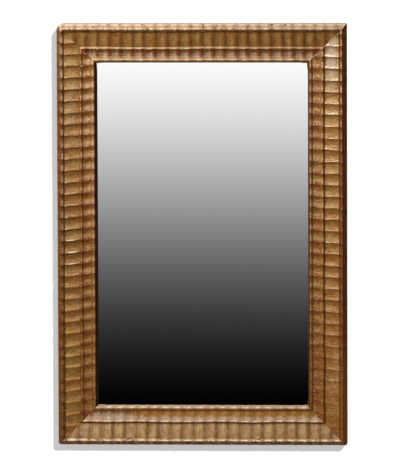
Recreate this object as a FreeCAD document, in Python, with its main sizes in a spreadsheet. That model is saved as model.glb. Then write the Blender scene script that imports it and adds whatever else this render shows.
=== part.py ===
import FreeCAD, Part
import math
import os
import Sketcher
from FreeCAD import Placement, Rotation, Vector

# A wall mirror in a gilt frame of ripple mouldings. The frame stands upright with its front towards -Y,
# +X to the right and +Z up. The origin is the centre of the back, in the plane that meets the wall.
# u is a distance inwards from the outer edge of the frame, and height is a distance forwards from the back.
doc = FreeCAD.newDocument("FramedMirror")
sheet = doc.addObject("Spreadsheet::Sheet", "Sizes")

SIZES = {
    # whole frame
    "frame_width": 610,
    "frame_height": 890,
    # carcass of flat boards, half lapped at the corners
    "carcass_width": 56,
    "carcass_thickness": 20,
    "rebate_width": 10,
    "peg_diameter": 8,
    "peg_clearance": 0.1,
    # mouldings, each height taken from the front of the carcass
    "bead_width": 16,
    "bead_rise": 32,
    "band_width": 30,
    "band_rise": 26,
    "cove_rise": 19,
    "slip_width": 12,
    "slip_rise": 16.5,
    # ripples, and how far from its first corner the first arris of each side stands
    "ripple_pitch": 24.3,
    "ripple_depth": 3,
    "bottom_first_arris": 16.4,
    "right_first_arris": 13.3,
    "top_first_arris": 11.6,
    "left_first_arris": 19.7,
    # mirror plate and what holds it from behind
    "glass_thickness": 4,
    "glass_clearance": 2,
    "fillet_width": 11,
    "board_thickness": 5,
    "board_clearance": 1,
    "board_gap": 1.5,
    "nail_shank": 1.8,
    "nail_head": 4.5,
    "nail_clearance": 0.1,
    # strap hangers and their rings
    "hanger_drop": 225,
    "strap_width": 14,
    "strap_thickness": 1.5,
    "strap_end": 8,
    "barrel_lift": 0.3,
    "bar_clearance": 0.1,
    "ring_wire": 3,
    "ring_side_gap": 2.5,
    "ring_leg": 4,
    "screw_shank": 3.5,
    "screw_head": 7,
    "screw_head_height": 2.2,
    "screw_gap": 3,
    "screw_spacing": 14,
    "screw_clearance": 0.15,
    # how far a cutting outline runs past what it cuts
    "overrun": 5,
}
for row, (alias, number) in enumerate(SIZES.items(), start=1):
    sheet.set(f"A{row}", alias)
    sheet.set(f"B{row}", str(number))
    sheet.setAlias(f"B{row}", alias)
doc.recompute()


class Length:
    """A formula on the sheet and its present value, kept together so that a drawing and its bond agree."""

    def __init__(self, text, value):
        self.text = text
        self.value = value

    def _join(self, sign, other, value):
        text = other.text if isinstance(other, Length) else str(other)
        return Length(f"({self.text} {sign} {text})", value)

    def __add__(self, other):
        return self._join("+", other, self.value + plain(other))

    def __sub__(self, other):
        return self._join("-", other, self.value - plain(other))

    def __mul__(self, other):
        return self._join("*", other, self.value * plain(other))

    def __truediv__(self, other):
        return self._join("/", other, self.value / plain(other))

    def __neg__(self):
        return Length(f"(0 - {self.text})", -self.value)


def plain(number):
    """The value of a length, or the number itself."""
    return number.value if isinstance(number, Length) else number


def size(alias):
    """A driving dimension, read from the sheet."""
    return Length(f"Sizes.{alias}", float(sheet.get(alias)))


nothing = Length("0", 0.0)
overrun = size("overrun")


# Features shared by the pieces

def new_body(name):
    """A piece of the object, whose label names its file."""
    body = doc.addObject("PartDesign::Body", name)
    body.Label = name
    return body


def place(body, x, y, z, turn=Rotation()):
    """Sets where a piece stands, bound to the sheet."""
    body.Placement = Placement(Vector(x.value, y.value, z.value), turn)
    for axis, distance in (("x", x), ("y", y), ("z", z)):
        body.setExpression(f"Placement.Base.{axis}", distance.text)


def new_sketch(body, role, lift=nothing):
    """A sketch on one of the piece's own origin planes, lifted along the plane's normal."""
    sketch = body.newObject("Sketcher::SketchObject", f"{body.Name}_sketch")
    plane = next(feature for feature in body.Origin.OriginFeatures if feature.Role == role)
    sketch.AttachmentSupport = (plane, [""])
    sketch.MapMode = "FlatFace"
    sketch.AttachmentOffset = Placement(Vector(0, 0, lift.value), Rotation())
    sketch.setExpression("AttachmentOffset.Base.z", lift.text)
    return sketch


def hold(sketch, constraint, length):
    """Adds a constraint whose value follows the sheet."""
    index = sketch.addConstraint(constraint)
    sketch.setExpression(f"Constraints[{index}]", length.text)


def hold_point(sketch, edge, end, x, y):
    """Ties one end of an edge to its distances from the sketch's origin."""
    hold(sketch, Sketcher.Constraint("DistanceX", -1, 1, edge, end, x.value), x)
    hold(sketch, Sketcher.Constraint("DistanceY", -1, 1, edge, end, y.value), y)


def outline(sketch, points, bulges=None):
    """Draws a closed outline. bulges gives, by a point's place in the list, the rise of the arc that
    leaves it, positive to the left of the way the outline runs."""
    bulges = bulges or {}
    ends = []
    for place_in_list, (x, y) in enumerate(points):
        next_x, next_y = points[(place_in_list + 1) % len(points)]
        start = Vector(x.value, y.value, 0)
        finish = Vector(next_x.value, next_y.value, 0)
        chord = finish - start
        if place_in_list in bulges:
            rise = bulges[place_in_list]
            left = Vector(-chord.y, chord.x, 0).normalize()
            top = (start + finish) / 2 + left * rise.value
            edge = sketch.addGeometry(Part.Arc(start, top, finish))
            across = next_x - x
            along = next_y - y
            radius = ((across * across + along * along) / 4 + rise * rise) / (rise * 2)
            if rise.value < 0:
                radius = -radius
            hold(sketch, Sketcher.Constraint("Radius", edge, radius.value), radius)
        else:
            edge = sketch.addGeometry(Part.LineSegment(start, finish))
        near_first = (sketch.getPoint(edge, 1) - start).Length < (sketch.getPoint(edge, 2) - start).Length
        ends.append((edge, (1, 2) if near_first else (2, 1)))
    for place_in_list, (edge, (first, last)) in enumerate(ends):
        next_edge, (next_first, _) = ends[(place_in_list + 1) % len(ends)]
        sketch.addConstraint(Sketcher.Constraint("Coincident", edge, last, next_edge, next_first))
        hold_point(sketch, edge, first, *points[place_in_list])


def rectangle(sketch, left, right, low, high):
    """Draws a rectangle from its four limits."""
    outline(sketch, [(left, low), (right, low), (right, high), (left, high)])


def circles(sketch, centres, diameter):
    """Draws one circle of the given diameter at each centre."""
    for x, y in centres:
        centre = Vector(x.value, y.value, 0)
        edge = sketch.addGeometry(Part.Circle(centre, Vector(0, 0, 1), diameter.value / 2))
        hold(sketch, Sketcher.Constraint("Diameter", edge, diameter.value), diameter)
        hold_point(sketch, edge, 3, x, y)


def pad(body, sketch, length, backwards=False, both_ways=False):
    """Builds material up from a sketch."""
    feature = body.newObject("PartDesign::Pad", f"{body.Name}_pad")
    feature.Profile = sketch
    feature.setExpression("Length", length.text)
    feature.Reversed = backwards
    if both_ways:
        feature.SideType = "Symmetric"
    doc.recompute()
    return feature


def pocket(body, sketch, depth, along_normal=False):
    """Cuts a sketch away, against its normal unless told otherwise, and makes sure that something went."""
    before = body.Shape.Volume
    feature = body.newObject("PartDesign::Pocket", f"{body.Name}_pocket")
    feature.Profile = sketch
    feature.setExpression("Length", depth.text)
    feature.Reversed = along_normal
    doc.recompute()
    if not body.Shape.Volume < before:
        raise RuntimeError(f"a pocket in {body.Label} cuts nothing")
    return feature


# Lines that the pieces share, as distances u from the outer edge of the frame

half_width = size("frame_width") / 2
half_height = size("frame_height") / 2
bead_width = size("bead_width")
carcass_width = size("carcass_width")
carcass_thickness = size("carcass_thickness")
band_width = size("band_width")
rebate_width = size("rebate_width")
band_start = bead_width
cove_start = bead_width + band_width
carcass_end = bead_width + carcass_width
rebate_start = carcass_end - rebate_width
rebate_middle = carcass_end - rebate_width / 2
carcass_middle = bead_width + carcass_width / 2
board_thickness = size("board_thickness")
glass_back = carcass_thickness - size("glass_thickness")


# Places of the pegs, nails and hanger screws, as pairs of X and Z

PEG_OFFSET_SHARE = 0.21
NAIL_SPREAD_SHARE = 0.3
NAIL_SIDE_SHARE = 0.27
BOARDS = ["backboard_left", "backboard_centre", "backboard_right"]

boards_width = (half_width - rebate_start - size("board_clearance")) * 2
board_width = (boards_width - size("board_gap") * 2) / len(BOARDS)
board_height = (half_height - rebate_start - size("board_clearance")) * 2
board_step = board_width + size("board_gap")
board_columns = {board: order - len(BOARDS) // 2 for order, board in enumerate(BOARDS)}

peg_offset = carcass_width * PEG_OFFSET_SHARE
peg_places = []
for across in (-1, 1):
    for up in (-1, 1):
        for way in (-1, 1):
            peg_x = (half_width - carcass_middle + peg_offset * way) * across
            peg_z = (half_height - carcass_middle + peg_offset * way) * up
            peg_places.append((peg_x, peg_z))

end_nails = {}
side_nails = {}
for board, column in board_columns.items():
    end_nails[board] = []
    side_nails[board] = []
    for up in (-1, 1):
        for way in (-1, 1):
            nail_x = board_step * column + board_width * (NAIL_SPREAD_SHARE * way)
            end_nails[board].append((nail_x, (half_height - rebate_middle) * up))
    if column:
        for way in (-1, 0, 1):
            nail_z = size("frame_height") * (NAIL_SIDE_SHARE * way)
            side_nails[board].append(((half_width - rebate_middle) * column, nail_z))

bar_radius = size("ring_wire") / 2
barrel_bore = bar_radius + size("bar_clearance")
barrel_radius = barrel_bore + size("strap_thickness")
bar_height = barrel_radius + size("barrel_lift")
ring_half = size("strap_width") / 2 + size("ring_side_gap") + bar_radius
ring_corner = size("ring_wire")
ring_reach = ring_corner + size("ring_leg") + ring_half + bar_radius
first_screw = ring_reach + size("screw_gap") + size("screw_head") / 2
second_screw = first_screw + size("screw_spacing")
strap_bottom = second_screw + size("strap_end")
hanger_middle = bead_width + (carcass_width - rebate_width) / 2
hanger_x = half_width - hanger_middle
hanger_z = half_height - size("hanger_drop")
screw_places = {}
for side, across in (("left", -1), ("right", 1)):
    screw_places[side] = [(hanger_x * across, hanger_z - drop) for drop in (first_screw, second_screw)]


def moved(places, x, z):
    """The same places, measured from a piece's own origin."""
    return [(place_x - x, place_z - z) for place_x, place_z in places]


# Carcass: two stiles and two rails, half lapped at the corners and rebated behind for the backboards

NAIL_BITE_SHARE = 0.66
SCREW_BITE_SHARE = 0.62
lap_height = carcass_thickness / 2
nail_length = board_thickness + (carcass_thickness - board_thickness) * NAIL_BITE_SHARE
screw_bite = carcass_thickness * SCREW_BITE_SHARE
peg_hole = size("peg_diameter") + size("peg_clearance") * 2
nail_hole = size("nail_shank") + size("nail_clearance") * 2
screw_hole = size("screw_shank") + size("screw_clearance") * 2


def carcass_member(name, half_length, x, z, upright, inwards, pilots):
    """A board of the carcass. inwards is the sign of the way to the glass, and pilots lists its blind holes
    as places, diameter and depth. A stile gives up its front at the laps, and a rail its back."""
    body = new_body(name)
    half_board = carcass_width / 2
    lap_start = half_length - carcass_width

    def across_and_along(low, high, start, finish):
        return (low, high, start, finish) if upright else (start, finish, low, high)

    sketch = new_sketch(body, "XZ_Plane")
    rectangle(sketch, *across_and_along(-half_board, half_board, -half_length, half_length))
    pad(body, sketch, carcass_thickness)
    for start, finish in ((lap_start, half_length + overrun), (-half_length - overrun, -lap_start)):
        sketch = new_sketch(body, "XZ_Plane", lap_height)
        rectangle(sketch, *across_and_along(-half_board - overrun, half_board + overrun, start, finish))
        pocket(body, sketch, lap_height + overrun, along_normal=upright)
    rebate_reach = lap_start + rebate_width
    sketch = new_sketch(body, "XZ_Plane", board_thickness)
    inner = half_board - rebate_width
    limits = (inner, half_board + overrun) if inwards > 0 else (-half_board - overrun, -inner)
    rectangle(sketch, *across_and_along(*limits, -rebate_reach, rebate_reach))
    pocket(body, sketch, board_thickness + overrun)
    pegs = [(peg_x, peg_z) for peg_x, peg_z in peg_places
            if (peg_x.value * x.value if upright else peg_z.value * z.value) > 0]
    for places, diameter, depth in pilots + [(pegs, peg_hole, carcass_thickness + overrun)]:
        sketch = new_sketch(body, "XZ_Plane")
        circles(sketch, moved(places, x, z), diameter)
        pocket(body, sketch, depth, along_normal=True)
    place(body, x, nothing, z)
    return body


stile_x = half_width - carcass_middle
rail_z = half_height - carcass_middle
stile_half = half_height - bead_width
rail_half = half_width - bead_width
pieces = []
for side, across in (("left", -1), ("right", 1)):
    pilots = [
        (side_nails[f"backboard_{side}"], nail_hole, nail_length + size("nail_clearance")),
        (screw_places[side], screw_hole, screw_bite + size("screw_clearance")),
    ]
    pieces.append(carcass_member(f"{side}_stile", stile_half, stile_x * across, nothing,
                                 True, -across, pilots))
for side, up in (("bottom", -1), ("top", 1)):
    rail_nails = [spot for spots in end_nails.values() for spot in spots if spot[1].value * up > 0]
    pilots = [(rail_nails, nail_hole, nail_length + size("nail_clearance"))]
    pieces.append(carcass_member(f"{side}_rail", rail_half, nothing, rail_z * up,
                                 False, -up, pilots))

body = new_body("corner_pegs")
sketch = new_sketch(body, "XZ_Plane")
circles(sketch, peg_places, size("peg_diameter"))
pad(body, sketch, carcass_thickness)
place(body, nothing, nothing, nothing)
pieces.append(body)


# Mouldings: a blank with mitred ends is planted on the carcass, and its contour is cut along a path of
# hollow arcs, so that every member of the contour carries the same ripple with a sharp arris between hollows

# Each contour lists its points as shares of the strip's width and of its rise above the carcass.
# The rounds give, by the point that they leave, the rise of an arc as a share of the strip's rise.
BEAD_SHARES = [(0, 0.5), (0.38, 0.89), (0.81, 0.89), (1, 0.76)]
BEAD_ROUND_SHARES = {1: 0.1}
BAND_SHARES = [(0, 1), (0.93, 0.66), (1, 0.54)]
BAND_ROUND_SHARES = {0: 0.05}
COVE_SHARES = [(0, 0.76), (0.12, 1), (0.24, 0.97), (0.32, 0.84), (0.94, 0.66), (1, 0.62)]
COVE_ROUND_SHARES = {1: 0.04, 3: -0.19}
SLIP_SHARES = [(0, 0.72), (0.12, 0.8), (0.72, 0.8), (1, 0.36)]
SLIP_ROUND_SHARES = {1: 0.2}

ripple_pitch = size("ripple_pitch")
ripple_depth = size("ripple_depth")
lay_flat = Rotation(Vector(1, 0, 0), 90)
# the size that gives each side its length, in the order in which quarter turns carry the bottom side to them
SIDES = {"bottom": "frame_width", "right": "frame_height", "top": "frame_width", "left": "frame_height"}


def ripple_lead(side):
    """How far before the corner the path starts, so that an arris falls at the side's first arris."""
    first = size(f"{side}_first_arris")
    whole = math.ceil(first.value / ripple_pitch.value)
    return Length(f"(ceil({first.text} / {ripple_pitch.text}) * {ripple_pitch.text} - {first.text})",
                  whole * ripple_pitch.value - first.value)


def ripple_path(body, run):
    """A row of equal hollow arcs along X, one for each ripple, that reaches past the far corner."""
    sketch = new_sketch(body, "XZ_Plane")
    arcs = []
    for ripple in range(math.ceil(run.value / ripple_pitch.value)):
        start = Vector(ripple * ripple_pitch.value, 0, 0)
        middle = start + Vector(ripple_pitch.value / 2, -ripple_depth.value, 0)
        finish = start + Vector(ripple_pitch.value, 0, 0)
        arcs.append(Part.Arc(start, middle, finish))
    sketch.addGeometry(arcs, False)
    return sketch


def moulding(side, kind, start, width, rise, foot, shares, round_shares):
    """One strip of one side: start is its u, and foot is the height of its seat."""
    body = new_body(f"{side}_{kind}")
    length = size(SIDES[side])
    lead = ripple_lead(side)
    near = lead + start
    far = lead + length - start
    sketch = new_sketch(body, "XY_Plane", foot)
    outline(sketch, [(near, nothing), (far, nothing), (far - width, width), (near + width, width)])
    pad(body, sketch, carcass_thickness + rise + overrun - foot)

    contour = [(width * share, carcass_thickness + rise * high) for share, high in shares]
    air = carcass_thickness + rise + ripple_depth + overrun * 2
    points = [(-overrun, contour[0][1])] + contour + [(width + overrun, contour[-1][1])]
    points = points + [(width + overrun, air), (-overrun, air)]
    sketch = new_sketch(body, "YZ_Plane")
    outline(sketch, points, {spot + 1: rise * share for spot, share in round_shares.items()})
    path = ripple_path(body, lead + length)
    doc.recompute()
    cut = body.newObject("PartDesign::SubtractivePipe", f"{body.Name}_ripple")
    cut.Profile = sketch
    cut.Spine = path
    cut.Mode = "Fixed"
    cut.Refine = False
    doc.recompute()
    if len(body.Shape.Faces) < len(path.Geometry):
        raise RuntimeError(f"the ripple of {body.Label} cuts nothing")

    corner = {
        "bottom": (-half_width - lead, start - half_height),
        "right": (half_width - start, -half_height - lead),
        "top": (half_width + lead, half_height - start),
        "left": (start - half_width, half_height + lead),
    }[side]
    turn = Rotation(Vector(0, 1, 0), -90 * list(SIDES).index(side))
    place(body, corner[0], nothing, corner[1], turn * lay_flat)
    return body


for side in SIDES:
    pieces.append(moulding(side, "outer_bead", nothing, bead_width, size("bead_rise"), nothing,
                           BEAD_SHARES, BEAD_ROUND_SHARES))
    pieces.append(moulding(side, "ripple_band", band_start, band_width, size("band_rise"), carcass_thickness,
                           BAND_SHARES, BAND_ROUND_SHARES))
    pieces.append(moulding(side, "inner_cove", cove_start, carcass_width - band_width, size("cove_rise"),
                           carcass_thickness, COVE_SHARES, COVE_ROUND_SHARES))
    pieces.append(moulding(side, "sight_slip", carcass_end, size("slip_width"), size("slip_rise"),
                           carcass_thickness, SLIP_SHARES, SLIP_ROUND_SHARES))


# Mirror plate, behind the sight slips, and the fillets that keep it there

def plate(name, half_x, half_z, x, z, back, front):
    """A rectangular piece between two heights above the back."""
    body = new_body(name)
    sketch = new_sketch(body, "XZ_Plane", back)
    rectangle(sketch, -half_x, half_x, -half_z, half_z)
    pad(body, sketch, front - back)
    place(body, x, nothing, z)
    return body


glass_edge = carcass_end + size("glass_clearance")
pieces.append(plate("mirror_plate", half_width - glass_edge, half_height - glass_edge, nothing, nothing,
                    glass_back, carcass_thickness))
fillet_half = size("fillet_width") / 2
opening_x = half_width - carcass_end
opening_z = half_height - carcass_end
for side, way in (("bottom", -1), ("top", 1)):
    pieces.append(plate(f"{side}_glass_fillet", opening_x, fillet_half,
                        nothing, (opening_z - fillet_half) * way, board_thickness, glass_back))
for side, way in (("left", -1), ("right", 1)):
    pieces.append(plate(f"{side}_glass_fillet", fillet_half, opening_z - size("fillet_width"),
                        (opening_x - fillet_half) * way, nothing, board_thickness, glass_back))


# Backboards in the rebate, and the nails that hold them, with their heads sunk flush

NAIL_HEAD_SHARE = 0.2
nail_head_height = board_thickness * NAIL_HEAD_SHARE
head_hole = size("nail_head") + size("nail_clearance") * 2
nail_places = []
for board, column in board_columns.items():
    places = end_nails[board] + side_nails[board]
    nail_places.extend(places)
    body = plate(board, board_width / 2, board_height / 2, board_step * column, nothing,
                 nothing, board_thickness)
    for diameter, depth in ((nail_hole, board_thickness + overrun), (head_hole, nail_head_height)):
        sketch = new_sketch(body, "XZ_Plane")
        circles(sketch, moved(places, board_step * column, nothing), diameter)
        pocket(body, sketch, depth, along_normal=True)
    pieces.append(body)

body = new_body("backboard_nails")
for diameter, length in ((size("nail_shank"), nail_length), (size("nail_head"), nail_head_height)):
    sketch = new_sketch(body, "XZ_Plane")
    circles(sketch, nail_places, diameter)
    pad(body, sketch, length)
place(body, nothing, nothing, nothing)
pieces.append(body)


# Hangers: a strap with a rolled barrel screwed to each stile, and a wire ring whose bar turns in the barrel

strap_half = size("strap_width") / 2
bare_bar = ring_half - ring_corner
leg_end = ring_corner + size("ring_leg")
QUARTER_RISE_SHARE = 1 - math.sqrt(2) / 2
corner_rise = ring_corner * QUARTER_RISE_SHARE
loop_rise = ring_half * QUARTER_RISE_SHARE
for side, across in (("left", -1), ("right", 1)):
    body = new_body(f"{side}_hanger_strap")
    sketch = new_sketch(body, "XZ_Plane")
    rectangle(sketch, -strap_half, strap_half, -strap_bottom, nothing)
    pad(body, sketch, size("strap_thickness"), backwards=True)
    sketch = new_sketch(body, "YZ_Plane")
    circles(sketch, [(bar_height, nothing)], barrel_radius * 2)
    pad(body, sketch, size("strap_width"), both_ways=True)
    sketch = new_sketch(body, "YZ_Plane", -strap_half - overrun)
    circles(sketch, [(bar_height, nothing)], barrel_bore * 2)
    pocket(body, sketch, size("strap_width") + overrun * 2, along_normal=True)
    sketch = new_sketch(body, "XZ_Plane")
    circles(sketch, [(nothing, -first_screw), (nothing, -second_screw)], screw_hole)
    pocket(body, sketch, size("strap_thickness") + overrun)
    place(body, hanger_x * across, nothing, hanger_z)
    pieces.append(body)

    body = new_body(f"{side}_hanger_ring")
    path = new_sketch(body, "XZ_Plane", -bar_height)
    outline(path, [
        (nothing, nothing), (bare_bar, nothing), (ring_half, -ring_corner), (ring_half, -leg_end),
        (nothing, -leg_end - ring_half),
        (-ring_half, -leg_end), (-ring_half, -ring_corner), (-bare_bar, nothing),
    ], {1: corner_rise, 3: loop_rise, 4: loop_rise, 6: corner_rise})
    section = new_sketch(body, "YZ_Plane")
    circles(section, [(bar_height, nothing)], size("ring_wire"))
    doc.recompute()
    wire = body.newObject("PartDesign::AdditivePipe", f"{body.Name}_wire")
    wire.Profile = section
    wire.Spine = path
    doc.recompute()
    place(body, hanger_x * across, nothing, hanger_z)
    pieces.append(body)

body = new_body("hanger_screws")
all_screws = screw_places["left"] + screw_places["right"]
sketch = new_sketch(body, "XZ_Plane", -size("strap_thickness"))
circles(sketch, all_screws, size("screw_shank"))
pad(body, sketch, size("strap_thickness") + screw_bite)
sketch = new_sketch(body, "XZ_Plane", -size("strap_thickness"))
circles(sketch, all_screws, size("screw_head"))
pad(body, sketch, size("screw_head_height"), backwards=True)
place(body, nothing, nothing, nothing)
pieces.append(body)


# Every feature has to be sound before anything is written

doc.recompute()
for item in doc.Objects:
    if "Invalid" in item.State or "Error" in item.State:
        raise RuntimeError(f"{item.Label} failed: {item.State}")
os.makedirs("parts", exist_ok=True)
for piece in pieces:
    if piece.Shape.isNull() or not piece.Shape.isValid():
        raise RuntimeError(f"{piece.Label} has no sound shape")
for piece in pieces:
    piece.Shape.exportStep(f"parts/{piece.Label}.step")
    print(piece.Label, len(piece.Shape.Solids), "solids", round(piece.Shape.Volume), "mm3")
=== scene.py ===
import math
import bpy
import numpy as np
from mathutils import Matrix, Vector


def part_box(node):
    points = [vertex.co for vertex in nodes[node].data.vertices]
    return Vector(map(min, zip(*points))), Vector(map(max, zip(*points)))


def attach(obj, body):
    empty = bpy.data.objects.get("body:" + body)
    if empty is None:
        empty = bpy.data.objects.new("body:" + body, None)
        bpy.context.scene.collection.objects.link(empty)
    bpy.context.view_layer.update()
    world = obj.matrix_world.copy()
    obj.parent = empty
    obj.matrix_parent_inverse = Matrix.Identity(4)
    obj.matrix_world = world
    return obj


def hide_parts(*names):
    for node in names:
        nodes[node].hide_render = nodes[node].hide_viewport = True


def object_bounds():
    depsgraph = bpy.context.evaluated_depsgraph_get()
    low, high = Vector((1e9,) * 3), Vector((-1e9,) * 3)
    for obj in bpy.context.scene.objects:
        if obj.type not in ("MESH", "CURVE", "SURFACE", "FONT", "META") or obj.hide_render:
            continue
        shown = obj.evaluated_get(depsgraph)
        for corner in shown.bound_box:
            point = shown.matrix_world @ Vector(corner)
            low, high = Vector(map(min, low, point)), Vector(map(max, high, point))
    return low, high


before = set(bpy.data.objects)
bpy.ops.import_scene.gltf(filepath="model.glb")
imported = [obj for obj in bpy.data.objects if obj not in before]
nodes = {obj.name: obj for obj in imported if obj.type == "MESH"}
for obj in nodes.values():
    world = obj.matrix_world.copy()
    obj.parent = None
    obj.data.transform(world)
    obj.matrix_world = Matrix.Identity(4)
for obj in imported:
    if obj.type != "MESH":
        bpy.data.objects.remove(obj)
cad_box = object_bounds()
scene = bpy.context.scene


# Carcass: two stiles and two rails of sawn softwood, half lapped at the corners with pegs through the laps.
# They carry the mouldings and show only from behind, where the wood is bare, brown with age and dusty.

PINE_PALE = (176, 139, 92)
PINE_DARK = (104, 70, 38)
PEG_PALE = (150, 112, 68)
PEG_DARK = (84, 54, 30)


def srgb(red, green, blue):
    """A colour given in screen values from 0 to 255, as the linear light that the shaders use."""
    parts = np.array([red, green, blue]) / 255
    linear = np.where(parts < 0.04045, parts / 12.92, ((parts + 0.055) / 1.055) ** 2.4)
    return (*linear.tolist(), 1.0)


def connect(tree, sockets, values):
    """Fills sockets by name or number: a socket given as a value is linked, and anything else is set."""
    for label, value in values.items():
        if isinstance(value, bpy.types.NodeSocket):
            tree.links.new(value, sockets[label])
        else:
            sockets[label].default_value = value


def put(tree, kind, values=None, **fields):
    """A shader node of one kind. fields are its own settings, and values fill its sockets."""
    node = tree.nodes.new("ShaderNode" + kind)
    for field, setting in fields.items():
        setattr(node, field, setting)
    connect(tree, node.inputs, values or {})
    return node


def axes(tree, kind, output):
    """The X, Y and Z of what a node of one kind gives."""
    return put(tree, "SeparateXYZ", {0: put(tree, kind).outputs[output]}).outputs


def maths(tree, operation, *values):
    """One step of arithmetic on values that vary over the surface."""
    return put(tree, "Math", dict(enumerate(values)), operation=operation).outputs[0]


def times(tree, first, second, added=0.0):
    """Two values multiplied, with a third added."""
    return maths(tree, "MULTIPLY_ADD", first, second, added)


def larger(tree, first, second):
    """The larger of two values."""
    return maths(tree, "MAXIMUM", first, second)


def step(tree, value, low, high):
    """A smooth step from 0 where the value is low to 1 where it is high."""
    return put(tree, "MapRange", {0: value, 1: low, 2: high}, interpolation_type="SMOOTHSTEP").outputs[0]


def over(tree, share, under, upper, mode="MIX"):
    """One colour laid over another, by a share that varies over the surface."""
    return put(tree, "Mix", {0: share, 6: under, 7: upper}, data_type="RGBA", blend_type=mode).outputs[2]


def scaled(tree, place, factors):
    """Places stretched by a factor along each axis."""
    return put(tree, "VectorMath", {0: place, 1: factors}, operation="MULTIPLY").outputs[0]


def noise(tree, place, scale, detail=3.0, roughness=0.55):
    """Soft random values from 0 to 1, with scale of them to the metre."""
    values = {"Vector": place, "Scale": scale, "Detail": detail, "Roughness": roughness}
    return put(tree, "TexNoise", values).outputs[0]


def new_group(name, inputs, more=()):
    """An empty shader group. Its inputs are given as kinds by name, and it puts out a colour, a roughness, a
    height and more values by name."""
    tree = bpy.data.node_groups.new(name, "ShaderNodeTree")
    outputs = {"Color": "Color", **dict.fromkeys(("Roughness", "Height", *more), "Float")}
    for sockets, way in ((inputs, "INPUT"), (outputs, "OUTPUT")):
        for label, kind in sockets.items():
            tree.interface.new_socket(label, in_out=way, socket_type="NodeSocket" + kind)
    given = tree.nodes.new("NodeGroupInput").outputs
    result = tree.nodes.new("NodeGroupOutput").inputs
    return tree, given, result


def new_material(name):
    """An empty material, its node tree and its main shader."""
    material = bpy.data.materials.new(name)
    material.use_nodes = True
    return material, material.node_tree, material.node_tree.nodes["Principled BSDF"]


def finish_surface(tree, shader, group, values, depth):
    """Ties a shader group's colour, roughness and relief, of a given depth in metres, to the main shader."""
    finish = put(tree, "Group", values, node_tree=group).outputs
    bump = put(tree, "Bump", {"Height": finish["Height"], "Distance": depth, "Strength": 1.0}).outputs[0]
    surface = {"Base Color": finish["Color"], "Roughness": finish["Roughness"], "Normal": bump}
    connect(tree, shader.inputs, surface)
    return finish


GROWTH_STRETCH = (0.7, 26, 26)
PORE_STRETCH = (60, 1500, 1500)
RING_TURNS = 60.0
WOOD_RELIEF = 0.0004


def make_wood_grain():
    """Wood whose grain runs along X: growth rings are a sine of a noise drawn out along the grain, pores are
    a much finer one, and grime is a broad one."""
    inputs = {"Place": "Vector", "Pale": "Color", "Dark": "Color"}
    tree, given, result = new_group("wood_grain", inputs)
    growth = noise(tree, scaled(tree, given["Place"], GROWTH_STRETCH), 1.0, 2.0)
    rings = maths(tree, "SINE", times(tree, growth, RING_TURNS))
    rings = step(tree, rings, -0.9, 1.0)
    pores = noise(tree, scaled(tree, given["Place"], PORE_STRETCH), 1.0, 2.0)
    grime = noise(tree, given["Place"], 14.0, 5.0, 0.65)
    color = over(tree, times(tree, rings, 0.6), given["Pale"], given["Dark"])
    color = over(tree, step(tree, pores, 0.5, 0.8), color, given["Dark"])
    color = over(tree, times(tree, step(tree, grime, 0.45, 0.8), 0.55), color, given["Dark"])
    rough = times(tree, grime, 0.25, 0.6)
    height = times(tree, rings, -0.35, times(tree, pores, -0.9))
    connect(tree, result, {"Color": color, "Roughness": rough, "Height": height})
    return tree


wood_grain = make_wood_grain()
ALONG_X = (0.0, 0.0, 0.0)
ALONG_Z = (0.0, math.pi / 2, 0.0)
ALONG_Y = (0.0, 0.0, math.pi / 2)


def wood(name, pale, dark, grain, cut=0.0):
    """Bare wood in two tones, with its grain along one of the axes. Pieces with the same cut share one run of
    grain."""
    material, tree, shader = new_material(name)
    place = put(tree, "TexCoord").outputs["Object"]
    turn = {"Vector": place, "Rotation": grain, "Location": (cut, cut, cut)}
    turned = put(tree, "Mapping", turn).outputs[0]
    values = {"Place": turned, "Pale": srgb(*pale), "Dark": srgb(*dark)}
    finish_surface(tree, shader, wood_grain, values, WOOD_RELIEF)
    return material


def dress(node_names, material):
    """Gives CAD nodes that keep their shape a finished material."""
    for name in node_names:
        slots = nodes[name].material_slots
        for slot in slots:
            slot.material = material
        if not slots:
            nodes[name].data.materials.append(material)


dress(["left_stile", "right_stile"], wood("stile_pine", PINE_PALE, PINE_DARK, ALONG_Z))
dress(["bottom_rail", "top_rail"], wood("rail_pine", PINE_PALE, PINE_DARK, ALONG_X))
dress(["corner_pegs"], wood("peg_wood", PEG_PALE, PEG_DARK, ALONG_Y))


# Ripple mouldings: four strips a side, carved in softwood, coated with gesso and red bole, gilded, and then
# rubbed and darkened by age; their colours also hold painted highlights and painted shade. Each side was
# worked as one run of hollows with an arris between them, mitred at the corners, and glued and pinned to the
# carcass.

half_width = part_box("right_outer_bead")[1].x
half_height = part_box("top_outer_bead")[1].z
seat = -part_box("left_stile")[0].y
# a side's first corner, the way along it and the way in to the glass
SIDES = {
    "bottom": ((-1, -1), (1, 0, 0), (0, 0, 1)),
    "right": ((1, -1), (0, 0, 1), (-1, 0, 0)),
    "top": ((1, 1), (-1, 0, 0), (0, 0, -1)),
    "left": ((-1, 1), (0, 0, -1), (1, 0, 0)),
}


def by_side(*values):
    """Values for the bottom, right, top and left, in that order, by the names of the sides."""
    return dict(zip(SIDES, values))


# seeds of hand work: each side's own, and what hollows, dirt and each strip's chips add to it
SIDE_SEEDS = by_side(11, 23, 37, 53)
DEPTH_SEED = 1
DIRT_SEED = 2
CHIP_SEED = 100
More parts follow.
